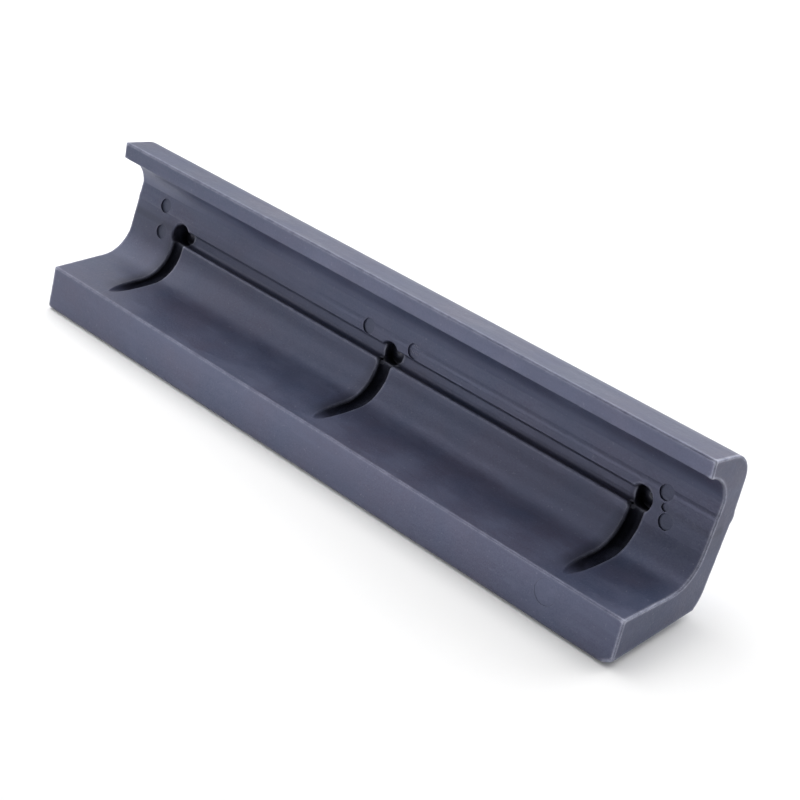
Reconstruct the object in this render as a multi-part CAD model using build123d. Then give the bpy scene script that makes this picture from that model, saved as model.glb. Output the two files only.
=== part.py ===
from build123d import *
import math
import os

# Wear strip for the slide rail of a grader blade: one moulded nylon channel that wraps round the edge of
# the rail, with three grease pockets joined by lubrication grooves. Millimetres. X runs along the strip,
# Y from the open mouth of the channel to its back and Z is up, with the flat bearing face of the foot on Z 0.
# The section is drawn in the mould's frame: y back from the front face, z up from the foot's front top edge.

length = 305.0

frontHeight = 18.5
footSlope = 8.75
bottomSlope = 14.0
rootY = 34.9
wallLean = 6.5
creaseZ = 35.2
lipY = 26.1
lipUnderZ = 45.9
lipLean = 4.5
topZ = 52.7
backY = 47.5
backBreakInset = 0.5
backBreakZ = 30.0
lowerBackLean = 7.5

rootRadius = 14.5
notchRadius = 12.5
topBackRadius = 10.0
heelRadius = 15.0
toeRadius = 1.8
longEdgeRadius = 0.6
endEdgeRadius = 0.5
beadRadius = 5.0
beadHeight = 0.45
beadDrop = 1.0
reliefRadius = 18.0
reliefRise = 3.4
reliefReach = 80.0

pocketRadius = 4.7
pocketPitch = 122.5
pocketZ = 22.4
pocketFloorY = 44.0
feedRadius = 1.0

grooveWidth = 5.9
grooveDepth = 4.0
grooveFloorRadius = 2.0
crossRadius = 2.95
crossDepth = 4.0
crossTipY = 5.0
ridgeRadius = 2.0
ridgeDepth = 3.0
mouthRadius = 0.8

markRadius = 2.95
markDepth = 0.6
smallMarkRadius = 1.5
gateRadius = 4.8
gateDepth = 0.1
gateX = 120.7
gateZ = -6.4

cutterLength = 30.0
touching = 0.001

footTangent = math.tan(math.radians(footSlope))
wallTangent = math.tan(math.radians(wallLean))
rootZ = rootY * footTangent
pocketXs = (-pocketPitch, 0.0, pocketPitch)
# Rounded corners of the ridge between the long groove and a cross groove: cross groove, side of it.
ridgeCorners = ((0.0, -1), (0.0, 1), (pocketPitch, -1))
# Ejector marks on the wall: distance along the strip, height, radius.
ejectorMarks = (
    (-135.2, 30.8, markRadius),
    (-133.7, 20.1, markRadius),
    (-12.6, 28.7, markRadius),
    (11.5, 28.7, markRadius),
    (131.3, 29.0, markRadius),
    (134.6, 19.8, markRadius),
    (132.6, 24.2, smallMarkRadius),
)


def wallY(z):
    return rootY + (z - rootZ) * wallTangent


def heelCorner():
    # Where the lower back plane meets the sloping bottom plane.
    bottomTangent = math.tan(math.radians(bottomSlope))
    backTangent = math.tan(math.radians(lowerBackLean))
    breakY = backY - backBreakInset
    rise = -frontHeight + bottomTangent * (breakY - backBreakZ * backTangent)
    z = rise / (1 - bottomTangent * backTangent)
    return (breakY - (backBreakZ - z) * backTangent, z)


def rounded(section, corner, radius):
    vertex = section.vertices().sort_by_distance((corner[0], corner[1], 0))[0]
    return fillet(vertex, radius)


def stripSection():
    frontTop = (0.0, 0.0)
    root = (rootY, rootZ)
    crease = (wallY(creaseZ), creaseZ)
    lipUnder = (lipY, lipUnderZ)
    lipTop = (lipY - (topZ - lipUnderZ) * math.tan(math.radians(lipLean)), topZ)
    backTop = (backY, topZ)
    backBreak = (backY - backBreakInset, backBreakZ)
    heel = heelCorner()
    toe = (0.0, -frontHeight)
    straights = Polyline(lipUnder, lipTop, backTop, backBreak, heel, toe, frontTop, root, crease)
    notch = RadiusArc(crease, lipUnder, -notchRadius)
    section = make_face([straights, notch])
    bead = Pos(backBreak[0] + beadHeight - beadRadius, backBreakZ - beadDrop) * Circle(beadRadius)
    section = section + bead
    corners = (
        (root, rootRadius),
        (backTop, topBackRadius),
        (heel, heelRadius),
        (toe, toeRadius),
        (frontTop, longEdgeRadius),
        (lipTop, longEdgeRadius),
        (lipUnder, longEdgeRadius),
    )
    for corner, radius in corners:
        section = rounded(section, corner, radius)
    return section


def endRelief():
    # The right end of the underside turns up towards the end face in a wide arc.
    span = math.acos(1 - reliefRise / reliefRadius)
    startX = length / 2 - reliefRadius * math.sin(span)
    middle = (startX + reliefRadius * math.sin(span / 2), reliefRadius * (1 - math.cos(span / 2)))
    start = (startX, 0.0)
    finish = (length / 2, reliefRise)
    outX = length / 2 + reliefRise
    outside = Polyline(start, (startX, -reliefRise), (outX, -reliefRise), (outX, reliefRise), finish)
    face = make_face([outside, ThreePointArc(finish, middle, start)])
    cutter = extrude(Plane.XZ * face, amount=reliefReach, both=True)
    return Pos(0, 0, -frontHeight) * Rot(X=bottomSlope) * cutter


def stripBlank():
    blank = extrude(Plane.YZ * stripSection(), amount=length / 2, both=True)
    ends = blank.faces().filter_by(Axis.X)
    return fillet(ends.edges(), endEdgeRadius) - endRelief()


def wallPlane(x, z):
    # Lies on the wall, local X along the strip, local Y up the wall and local Z out into the channel.
    return Plane(origin=(x, wallY(z), z), x_dir=(1, 0, 0), z_dir=(0, -1, wallTangent))


def greasePocket(x):
    # A blind pocket and the small feed hole through the skin behind it, along the mould's opening direction.
    toMouth = (Align.CENTER, Align.CENTER, Align.MIN)
    pocket = Pos(x, pocketFloorY, pocketZ) * Rot(X=90) * Cylinder(pocketRadius, cutterLength, align=toMouth)
    feed = Pos(x, pocketFloorY, pocketZ) * Rot(X=90) * Cylinder(feedRadius, cutterLength)
    return pocket + feed


def longGroove():
    profile = RectangleRounded(grooveWidth, 2 * grooveDepth, grooveFloorRadius)
    across = Plane(origin=(-pocketPitch, wallY(pocketZ), pocketZ), x_dir=(0, wallTangent, 1), z_dir=(1, 0, 0))
    return extrude(across * profile, amount=2 * pocketPitch)


def crossPath():
    # Centre line of the round cutter: down the wall, round the root and out along the foot.
    sink = crossDepth - crossRadius
    foot = math.radians(footSlope)
    wall = math.radians(90 - wallLean)
    setback = rootRadius * math.tan((wall - foot) / 2)
    centreY = rootY - setback * math.cos(foot) - rootRadius * math.sin(foot)
    centreZ = rootZ - setback * math.sin(foot) + rootRadius * math.cos(foot)
    reach = rootRadius + sink
    tip = (crossTipY - crossRadius * math.sin(foot), crossTipY * footTangent + crossRadius * math.cos(foot))
    tipDistance = math.hypot(tip[0] - centreY, tip[1] - centreZ)
    tipBearing = math.atan2(tip[1] - centreZ, tip[0] - centreY) % (2 * math.pi)
    leave = tipBearing + math.acos(reach / tipDistance)
    arrive = wall + 3 * math.pi / 2

    def onBend(bearing):
        return (centreY + reach * math.cos(bearing), centreZ + reach * math.sin(bearing))

    top = (wallY(pocketZ) + sink / math.cos(math.radians(wallLean)), pocketZ)
    return top, onBend(arrive), onBend((arrive + leave) / 2), onBend(leave), tip


def crossGroove(x):
    top, onWall, onMiddle, onFoot, tip = crossPath()
    down = Line(top, onWall)
    bend = ThreePointArc(onWall, onMiddle, onFoot)
    out = Line(onFoot, tip)
    path = Plane.YZ * Wire([down, bend, out])
    floor = sweep(Plane(origin=path @ 0, z_dir=path % 0) * Circle(crossRadius), path=path)
    mouth = (tip[0], top[1])
    slab = make_face([down, bend, out, Polyline(tip, mouth, top)])
    opening = extrude(Plane.YZ * slab, amount=crossRadius, both=True)
    return Pos(x, 0, 0) * (floor + opening)


def ridgeCorner(x, side):
    # Takes the sharp corner off the ridge where the long groove meets the side of a cross groove.
    edge = side * crossRadius
    low = -grooveWidth / 2
    onCross = (edge, low - ridgeRadius)
    onLong = (edge + side * ridgeRadius, low)
    sharp = Polyline(onCross, (edge, low), onLong)
    corner = make_face([sharp, RadiusArc(onLong, onCross, -side * ridgeRadius)])
    return extrude(wallPlane(x, pocketZ) * corner, amount=ridgeDepth, both=True)


def ejectorMark(x, z, radius):
    return wallPlane(x, z) * Cylinder(radius, 2 * markDepth)


def gateMark():
    return Pos(gateX, 0, gateZ) * Rot(X=90) * Cylinder(gateRadius, 2 * gateDepth)


def liesOn(edge, shapes):
    probes = [edge @ 0.1, edge @ 0.5, edge @ 0.9]
    return all(min(shape.distance_to(probe) for shape in shapes) < touching for probe in probes)


def mouthEdges(cut, blank):
    # The edges that pockets and grooves have made in the channel's face, and none of the blank's own.
    front = [edge for edge in cut.edges() if edge.bounding_box().max.Y < pocketFloorY]
    onSkin = [edge for edge in front if liesOn(edge, blank.faces())]
    return [edge for edge in onSkin if not liesOn(edge, blank.edges())]


def wearStrip():
    blank = stripBlank()
    strip = blank - longGroove()
    for x in pocketXs:
        strip = strip - crossGroove(x) - greasePocket(x)
    for x, side in ridgeCorners:
        strip = strip - ridgeCorner(x, side)
    strip = fillet(mouthEdges(strip, blank), mouthRadius)
    for x, z, radius in ejectorMarks:
        strip = strip - ejectorMark(x, z, radius)
    strip = strip - gateMark()
    return standing(strip)


def standing(strip):
    # Turn the sloping bottom flat on Z 0, with the middle of the strip's depth on Y 0.
    turned = Rot(X=-bottomSlope) * strip
    box = turned.bounding_box()
    return Pos(0, -(box.min.Y + box.max.Y) / 2, -box.min.Z) * turned


os.makedirs("parts", exist_ok=True)
export_step(wearStrip(), "parts/wear_strip.step")
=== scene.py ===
import bmesh
import bpy
import math
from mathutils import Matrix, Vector

# Moulded nylon wear strip for the slide rail of a grader blade. Metres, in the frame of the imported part.

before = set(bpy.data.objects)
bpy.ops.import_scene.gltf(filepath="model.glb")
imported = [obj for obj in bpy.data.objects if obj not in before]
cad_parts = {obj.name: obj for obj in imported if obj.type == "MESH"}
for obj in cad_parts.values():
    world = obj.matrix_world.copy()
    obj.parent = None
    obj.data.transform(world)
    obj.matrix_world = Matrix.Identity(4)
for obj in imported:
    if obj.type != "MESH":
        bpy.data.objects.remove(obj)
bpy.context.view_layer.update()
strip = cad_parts["wear_strip"]
print("frame loaded")


view = {
    "place": (0.44159, -0.43339, 0.40215),
    "turn": (58.0993, -2.9083, 45.8524),  # degrees
    "lens": 88.316,  # millimetres
    "sensor": 36.0,
    "nearest": 0.01,
    "furthest": 100.0,
}


def makeCamera():
    data = bpy.data.cameras.new("camera")
    data.lens = view["lens"]
    data.sensor_width = view["sensor"]
    data.clip_start = view["nearest"]
    data.clip_end = view["furthest"]
    camera = bpy.data.objects.new("camera", data)
    camera.location = view["place"]
    camera.rotation_euler = [math.radians(angle) for angle in view["turn"]]
    bpy.context.scene.collection.objects.link(camera)
    bpy.context.scene.camera = camera


# Soft boxes of the light tent: place, what it points at, its two sides and its power in watts.
lamps = {
    "topBackBox": ((0.0, 0.6, 1.2), (0.0, 0.6, 0.0), 2.4, 1.2, 20.0),
    "topFrontBox": ((-0.6, -0.6, 1.2), (-0.6, -0.6, 0.0), 1.2, 1.2, 3.4),
    "backLeftBox": ((-0.6, 1.2, 0.6), (-0.6, 0.0, 0.6), 1.2, 1.2, 7.0),
    "backRightBox": ((0.6, 1.2, 0.6), (0.6, 0.0, 0.6), 1.2, 1.2, 17.5),
    "leftBackBox": ((-1.2, 0.6, 0.6), (0.0, 0.6, 0.6), 1.2, 1.2, 3.9),
    "leftFrontBox": ((-1.2, -0.6, 0.6), (0.0, -0.6, 0.6), 1.2, 1.2, 4.4),
    "rightBackBox": ((1.2, 0.6, 0.6), (0.0, 0.6, 0.6), 1.2, 1.2, 0.9),
    "rightFrontBox": ((1.2, -0.6, 0.6), (0.0, -0.6, 0.6), 1.2, 1.2, 1.2),
    "cornerCard": ((-0.35, -0.45, 0.35), (-0.1, 0.0, 0.02), 0.35, 0.35, 0.48),
    "endCard": ((-0.5, 0.0, 0.14), (-0.1, 0.0, 0.03), 0.25, 0.25, 0.7),
    "overheadCard": ((-0.25, 0.1, 0.6), (-0.1, 0.0, 0.0), 0.4, 0.4, 0.65),
    "lowFrontCard": ((-0.03, -0.16, 0.02), (-0.03, 0.0, 0.02), 0.36, 0.03, 0.08),
    "floorCard": ((0.0, -0.12, 0.001), (0.0, -0.12, 0.5), 0.34, 0.08, 0.18),
}


def makeLights():
    for name, (place, target, width, height, power) in lamps.items():
        data = bpy.data.lights.new(name, "AREA")
        data.shape = "RECTANGLE"
        data.size = width
        data.size_y = height
        data.energy = power
        lamp = bpy.data.objects.new(name, data)
        lamp.location = place
        lamp.rotation_euler = (Vector(target) - Vector(place)).to_track_quat("-Z", "Y").to_euler()
        lamp.visible_camera = False
        bpy.context.scene.collection.objects.link(lamp)
    bpy.context.scene.view_settings.view_transform = "Standard"


def opaque(colour):
    return (*colour, 1.0)


def plainMaterial(name, colour, roughness):
    material = bpy.data.materials.new(name)
    material.use_nodes = True
    shader = material.node_tree.nodes["Principled BSDF"]
    shader.inputs["Base Color"].default_value = opaque(colour)
    shader.inputs["Roughness"].default_value = roughness
    return material


def glowMaterial(name, brightness):
    material = plainMaterial(name, (0.0, 0.0, 0.0), 1.0)
    shader = material.node_tree.nodes["Principled BSDF"]
    shader.inputs["Specular IOR Level"].default_value = 0.0
    shader.inputs["Emission Color"].default_value = (1.0, 1.0, 1.0, 1.0)
    shader.inputs["Emission Strength"].default_value = brightness
    return material


def addNode(tree, kind, inputs=None, **settings):
    node = tree.nodes.new(kind)
    for name, value in settings.items():
        setattr(node, name, value)
    for socket, value in (inputs or {}).items():
        if isinstance(value, bpy.types.NodeSocket):
            tree.links.new(value, node.inputs[socket])
        else:
            node.inputs[socket].default_value = value
    return node


def stretched(tree, coords, scale):
    return addNode(tree, "ShaderNodeMapping", {"Vector": coords, "Scale": scale}).outputs["Vector"]


def noise(tree, vector, scale, detail, rough):
    inputs = {"Vector": vector, "Scale": scale, "Detail": detail, "Roughness": rough}
    return addNode(tree, "ShaderNodeTexNoise", inputs).outputs["Fac"]


def spread(tree, value, low, high, toLow=0.0, toHigh=1.0):
    # Low may be the larger of the two, for a mask that fades as the value grows.
    inputs = {"Value": value, "From Min": low, "From Max": high, "To Min": toLow, "To Max": toHigh}
    return addNode(tree, "ShaderNodeMapRange", inputs).outputs["Result"]


def maths(tree, operation, first, second):
    return addNode(tree, "ShaderNodeMath", {0: first, 1: second}, operation=operation).outputs["Value"]


def together(tree, *masks):
    # Where all the masks overlap.
    whole = masks[0]
    for mask in masks[1:]:
        whole = maths(tree, "MULTIPLY", whole, mask)
    return whole


def strongest(tree, *masks):
    whole = masks[0]
    for mask in masks[1:]:
        whole = maths(tree, "MAXIMUM", whole, mask)
    return whole


def band(tree, value, rise, fall):
    return together(tree, spread(tree, value, *rise), spread(tree, value, *fall))


def distance(tree, coords, point):
    return addNode(tree, "ShaderNodeVectorMath", {0: coords, 1: point}, operation="DISTANCE").outputs["Value"]


def mixColour(tree, factor, first, second):
    # 6, 7 and 2 are the Mix node's colour sockets.
    inputs = {"Factor": factor, 6: first, 7: second}
    return addNode(tree, "ShaderNodeMix", inputs, data_type="RGBA").outputs[2]


def bump(tree, height, strength, distance, normal=None):
    inputs = {"Height": height, "Strength": strength, "Distance": distance}
    if normal is not None:
        inputs["Normal"] = normal
    return addNode(tree, "ShaderNodeBump", inputs).outputs["Normal"]


def occlusion(tree, reach, inside):
    inputs = {"Distance": reach}
    node = addNode(tree, "ShaderNodeAmbientOcclusion", inputs, inside=inside, only_local=True, samples=8)
    return node.outputs["AO"]


stage = {
    "litSide": 0.8,
    "fade": (0.38, 0.75),  # distances from the middle between which the lit floor dissolves
    "farSide": 40.0,
    "farDrop": 0.003,
    "floorColour": (0.9, 0.9, 0.9),
    "floorRoughness": 0.9,
    "glow": 1.0,
}


def floorMaterial():
    # Pale and matt, dissolving into the far floor well away from the strip.
    material = plainMaterial("paleFloor", stage["floorColour"], stage["floorRoughness"])
    tree = material.node_tree
    coords = addNode(tree, "ShaderNodeTexCoord").outputs["Object"]
    cover = spread(tree, distance(tree, coords, (0.0, 0.0, 0.0)), *stage["fade"], 1.0, 0.0)
    tree.links.new(cover, tree.nodes["Principled BSDF"].inputs["Alpha"])
    return material


def makeFloor(name, side, height, material):
    bm = bmesh.new()
    bmesh.ops.create_grid(bm, x_segments=1, y_segments=1, size=side)
    bmesh.ops.translate(bm, vec=(0.0, 0.0, height), verts=bm.verts)
    mesh = bpy.data.meshes.new(name)
    bm.to_mesh(mesh)
    bm.free()
    mesh.materials.append(material)
    floor = bpy.data.objects.new(name, mesh)
    bpy.context.scene.collection.objects.link(floor)
    return floor


def makeRoom():
    # Pale walls all round that light nothing, so that low views have no dark horizon.
    world = bpy.data.worlds.new("paleRoom")
    world.use_nodes = True
    wall = world.node_tree.nodes["Background"]
    wall.inputs["Color"].default_value = (1.0, 1.0, 1.0, 1.0)
    wall.inputs["Strength"].default_value = stage["glow"]
    world.cycles_visibility.diffuse = False
    world.cycles_visibility.glossy = False
    bpy.context.scene.world = world


def makeStage():
    floor = makeFloor("floor", stage["litSide"], 0.0, floorMaterial())
    farGlow = glowMaterial("paleFarFloor", stage["glow"])
    farFloor = makeFloor("farFloor", stage["farSide"], -stage["farDrop"], farGlow)
    farFloor.visible_diffuse = False
    farFloor.visible_glossy = False
    farFloor.visible_shadow = False
    makeRoom()


# Noise patterns in the plastic: stretch of the three axes, scale, detail and roughness.
patterns = {
    "clouds": ((1.0, 1.0, 1.0), 30.0, 3.0, 0.6),
    "patches": ((0.5, 1.0, 1.0), 85.0, 5.0, 0.7),
    "wipes": ((0.06, 1.0, 1.0), 300.0, 3.0, 0.6),
    "grain": ((1.0, 1.0, 1.0), 1500.0, 2.0, 0.6),
    "peel": ((1.0, 1.0, 1.0), 620.0, 3.0, 0.55),
    "specks": ((1.0, 1.0, 1.0), 1000.0, 1.0, 0.4),
    "chipping": ((1.0, 1.0, 1.0), 300.0, 4.0, 0.75),
}
pocketPitch = 0.1225


def makePatterns(tree, coords):
    made = {}
    for name, (stretch, scale, detail, rough) in patterns.items():
        made[name] = noise(tree, stretched(tree, coords, stretch), scale, detail, rough)
    return made


def makePlaces(tree, coords):
    axes = addNode(tree, "ShaderNodeSeparateXYZ", {"Vector": coords}).outputs
    shifted = maths(tree, "ADD", axes["X"], pocketPitch / 2)
    wrapped = maths(tree, "FLOORED_MODULO", shifted, pocketPitch)
    return {
        "coords": coords,
        "depth": axes["Y"],
        "height": axes["Z"],
        "fromMiddle": maths(tree, "ABSOLUTE", axes["X"], 0.0),
        "fromPocket": maths(tree, "SUBTRACT", wrapped, pocketPitch / 2),  # signed, from the nearest one
    }


# From here on, a pair of numbers runs from where a mask is 0 to where it is 1. Two more numbers after them
# are the mask's values at those two places instead.
ground = {
    "slate": (0.024, 0.033, 0.064),
    "violet": (0.040, 0.036, 0.060),
    # The rubbed tone, also laid into the notch under the lip as painted bounce light.
    "rubbedToneAndPaintedLight": (0.058, 0.066, 0.106),
    "speck": (0.13, 0.14, 0.18),
    "clouds": (0.38, 0.62),
    "patches": (0.46, 0.62),
    "wipes": (0.4, 0.7, 0.35, 1.0),
    "notchHeight": ((0.041, 0.045), (0.049, 0.045)),
    "notchDepth": (0.013, 0.016),
    "notchWipes": (0.3, 0.6, 0.8, 1.0),
    "grain": (0.3, 0.75, 0.0, 0.7),
    "specks": (0.70, 0.80, 0.0, 0.5),
}


def groundColour(tree, made, place):
    # Slate and violet clouds, dry rubbed patches, painted bounce light lightening the notch under the lip,
    # fine grain and specks.
    clouds = spread(tree, made["clouds"], *ground["clouds"])
    colour = mixColour(tree, clouds, opaque(ground["slate"]), opaque(ground["violet"]))
    patchy = spread(tree, made["patches"], *ground["patches"])
    rub = together(tree, patchy, spread(tree, made["wipes"], *ground["wipes"]))
    # Painted bounce light: the notch under the lip is lightened with the rubbed tone.
    paintedNotchLight = together(
        tree,
        band(tree, place["height"], *ground["notchHeight"]),
        spread(tree, place["depth"], *ground["notchDepth"]),
        spread(tree, made["wipes"], *ground["notchWipes"]),
    )
    colour = mixColour(tree, strongest(tree, rub, paintedNotchLight), colour, opaque(ground["rubbedToneAndPaintedLight"]))
    grain = spread(tree, made["grain"], *ground["grain"])
    colour = mixColour(tree, grain, colour, opaque(ground["rubbedToneAndPaintedLight"]))
    specks = spread(tree, made["specks"], *ground["specks"])
    return mixColour(tree, specks, colour, opaque(ground["speck"]))


marks = {
    "gate": (0.1207, -0.0278, 0.0117),
    "gateFade": (0.0056, 0.0042),
    "gateRub": (0.4, 0.7, 0.1, 0.8),
    "dotted": (0.0115, 0.0171, 0.0367),
    "dottedFade": (0.0028, 0.0023),
    "dotScale": 1150.0,
    "dotScatter": 0.15,
    "dotFade": (0.45, 0.25),
    "dotStrength": 0.9,
    "disc": (0.020, 0.027, 0.040),
    "discFade": (0.0031, 0.0027, 0.0, 0.55),
    "discs": (
        (-0.1352, 0.0178, 0.0387),
        (-0.1337, 0.0143, 0.0285),
        (-0.0126, 0.0171, 0.0367),
        (0.1313, 0.0172, 0.0370),
        (0.1346, 0.0142, 0.0282),
    ),
}


def gateMask(tree, place):
    return spread(tree, distance(tree, place["coords"], marks["gate"]), *marks["gateFade"])


def dotMask(tree, place):
    # Rows of fine dots in one ejector mark.
    inMark = spread(tree, distance(tree, place["coords"], marks["dotted"]), *marks["dottedFade"])
    inputs = {"Vector": place["coords"], "Scale": marks["dotScale"], "Randomness": marks["dotScatter"]}
    rows = addNode(tree, "ShaderNodeTexVoronoi", inputs).outputs["Distance"]
    return together(tree, spread(tree, rows, *marks["dotFade"]), inMark)


def markedColour(tree, colour, made, place, gate, dots):
    # Rubbed where the gate was trimmed. The plain ejector marks are a little darker and greener.
    gateRub = together(tree, gate, spread(tree, made["chipping"], *marks["gateRub"]))
    colour = mixColour(tree, gateRub, colour, opaque(ground["rubbedToneAndPaintedLight"]))
    colour = mixColour(tree, together(tree, dots, marks["dotStrength"]), colour, opaque(ground["speck"]))
    for centre in marks["discs"]:
        disc = spread(tree, distance(tree, place["coords"], centre), *marks["discFade"])
        colour = mixColour(tree, disc, colour, opaque(marks["disc"]))
    return colour


# Painted shade: a near-black colour laid into the hollows, along the cross-groove shoulders and on the wall
# below the lip.
paintedShade = {
    "shadeColour": (0.004, 0.004, 0.006),
    "cavityReach": 0.006,
    "nearPocket": (0.0040, 0.0070, 1.0, 0.12),
    "hollow": (0.55, 0.93, 1.0, 0.0),
    "shoulderAlong": ((-0.0088, -0.0036), (0.0020, 0.0032, 1.0, 0.0)),
    "shoulderHeight": ((0.013, 0.014), (0.034, 0.030)),
    "shoulderDepth": ((-0.021, -0.012), (0.0185, 0.0175)),
    "shoulderPatches": (0.3, 0.6, 0.7, 0.95),
    "wallShadeHeight": ((0.021, 0.026), (0.040, 0.035)),
    "wallShadeDepth": (0.008, 0.012),
    "wallShadeWipes": (0.35, 0.65, 0.15, 0.35),
    "laneHeight": ((0.0290, 0.0310), (0.0350, 0.0325)),
    "laneDepth": (0.012, 0.014),
    "laneWipes": (0.35, 0.65, 0.5, 0.65),
    "behindWall": (0.0215, 0.0205),
}


def cavityMask(tree, place):
    # Painted shade in the hollows, found by occlusion: full in the pockets and cross grooves, thin in the
    # long groove.
    nearPocket = spread(tree, maths(tree, "ABSOLUTE", place["fromPocket"], 0.0), *paintedShade["nearPocket"])
    hollow = spread(tree, occlusion(tree, paintedShade["cavityReach"], False), *paintedShade["hollow"])
    return together(tree, hollow, nearPocket)


def shoulderMask(tree, made, place):
    # Painted shade along the left shoulder of each cross groove.
    return together(
        tree,
        band(tree, place["fromPocket"], *paintedShade["shoulderAlong"]),
        band(tree, place["height"], *paintedShade["shoulderHeight"]),
        band(tree, place["depth"], *paintedShade["shoulderDepth"]),
        spread(tree, made["patches"], *paintedShade["shoulderPatches"]),
    )


def wallShadeMask(tree, made, place):
    # Painted shade on the wall round the long groove, below the lip, darker in a lane along it, and none on
    # the back of the strip.
    wallShade = together(
        tree,
        band(tree, place["height"], *paintedShade["wallShadeHeight"]),
        spread(tree, place["depth"], *paintedShade["wallShadeDepth"]),
        spread(tree, made["wipes"], *paintedShade["wallShadeWipes"]),
    )
    lane = together(
        tree,
        band(tree, place["height"], *paintedShade["laneHeight"]),
        spread(tree, place["depth"], *paintedShade["laneDepth"]),
        spread(tree, made["wipes"], *paintedShade["laneWipes"]),
    )
    return together(tree, strongest(tree, wallShade, lane), spread(tree, place["depth"], *paintedShade["behindWall"]))


# Painted highlight along the outer edges, partly edge wear.
wearAndEdgeLight = {
    "scuffedAndLitEdge": (0.34, 0.35, 0.42),
    "edgeReach": 0.0016,
    "edge": (0.90, 0.72),
    "chipping": (0.36, 0.62, 0.35, 1.0),
    "alongStrip": (0.1480, 0.1510, 0.5, 1.0),
    "outerMarks": ((0.1255, 0.1275), (0.1400, 0.1385)),
    "innerMarks": (0.1185, 0.1165),
    "innerMarksHeight": (0.0318, 0.0328),
    "marksDepth": (0.006, 0.009),
    "marksHeight": (0.0435, 0.0425),
    "lipUnderHeight": ((0.050, 0.052), (0.0600, 0.0585)),
    "lipUnderDepth": (0.020, 0.018),
    "lipUnderAlong": (0.1505, 0.1495),
    "sheltered": (0.0, 1.0, 1.0, 0.08),
}


def shelterMask(tree, place, gate):
    # Where edges get neither the painted highlight nor wear: the ejector marks on the wall, the lip's
    # underside, which lies in shade, and the gate mark.
    outer = band(tree, place["fromMiddle"], *wearAndEdgeLight["outerMarks"])
    innerAlong = spread(tree, place["fromMiddle"], *wearAndEdgeLight["innerMarks"])
    inner = together(tree, innerAlong, spread(tree, place["height"], *wearAndEdgeLight["innerMarksHeight"]))
    onWall = together(
        tree,
        strongest(tree, outer, inner),
        spread(tree, place["depth"], *wearAndEdgeLight["marksDepth"]),
        spread(tree, place["height"], *wearAndEdgeLight["marksHeight"]),
    )
    lipUnder = together(
        tree,
        band(tree, place["height"], *wearAndEdgeLight["lipUnderHeight"]),
        spread(tree, place["depth"], *wearAndEdgeLight["lipUnderDepth"]),
        spread(tree, place["fromMiddle"], *wearAndEdgeLight["lipUnderAlong"]),
    )
    return strongest(tree, onWall, lipUnder, gate)


def wornAndLitEdgeMask(tree, made, place, gate):
    # Painted highlight on the outer edges, partly edge wear, strongest at the two ends of the strip.
    return together(
        tree,
        spread(tree, occlusion(tree, wearAndEdgeLight["edgeReach"], True), *wearAndEdgeLight["edge"]),
        spread(tree, shelterMask(tree, place, gate), *wearAndEdgeLight["sheltered"]),
        spread(tree, place["fromMiddle"], *wearAndEdgeLight["alongStrip"]),
        spread(tree, made["chipping"], *wearAndEdgeLight["chipping"]),
    )


finish = {
    "ior": 1.70,
    "glossTint": (0.64, 0.68, 1.0),
    "roughness": (0.3, 0.7, 0.33, 0.53),
    "glossDimmedInShade": (0.0, 0.8, 0.5, 0.03),
}
# Strength of each bump and its height in metres.
bumps = {
    "wipes": (0.15, 0.0005),
    "peel": (0.35, 0.00020),
    "grain": (0.5, 0.00010),
    "dots": (0.6, 0.00015),
}


def nylonMaterial():
    material = bpy.data.materials.new("mouldedNylon")
    material.use_nodes = True
    tree = material.node_tree
    shader = tree.nodes["Principled BSDF"]
    coords = addNode(tree, "ShaderNodeTexCoord").outputs["Object"]
    made = makePatterns(tree, coords)
    place = makePlaces(tree, coords)
    gate = gateMask(tree, place)
    dots = dotMask(tree, place)
    cavity = cavityMask(tree, place)

    colour = groundColour(tree, made, place)
    colour = markedColour(tree, colour, made, place, gate, dots)
    # Painted shade from the hollows, the shoulders and the wall below the lip.
    paintedShadeMask = strongest(tree, cavity, shoulderMask(tree, made, place), wallShadeMask(tree, made, place))
    colour = mixColour(tree, paintedShadeMask, colour, opaque(paintedShade["shadeColour"]))
    # Painted edge highlight, partly edge wear.
    colour = mixColour(tree, wornAndLitEdgeMask(tree, made, place, gate), colour, opaque(wearAndEdgeLight["scuffedAndLitEdge"]))

    reliefs = {**made, "dots": dots}
    surface = None
    for name, (strength, height) in bumps.items():
        surface = bump(tree, reliefs[name], strength, height, surface)

    # Reflections are dimmed where the painted shade lies in the hollows.
    gloss = spread(tree, cavity, *finish["glossDimmedInShade"])
    tree.links.new(colour, shader.inputs["Base Color"])
    tree.links.new(spread(tree, made["patches"], *finish["roughness"]), shader.inputs["Roughness"])
    tree.links.new(surface, shader.inputs["Normal"])
    tree.links.new(gloss, shader.inputs["Specular IOR Level"])
    shader.inputs["IOR"].default_value = finish["ior"]
    shader.inputs["Specular Tint"].default_value = opaque(finish["glossTint"])
    return material


makeCamera()
makeLights()
print("camera and lights placed")

makeStage()
print("stage laid")

for slot in strip.material_slots:
    slot.material = nylonMaterial()
print("nylon painted")
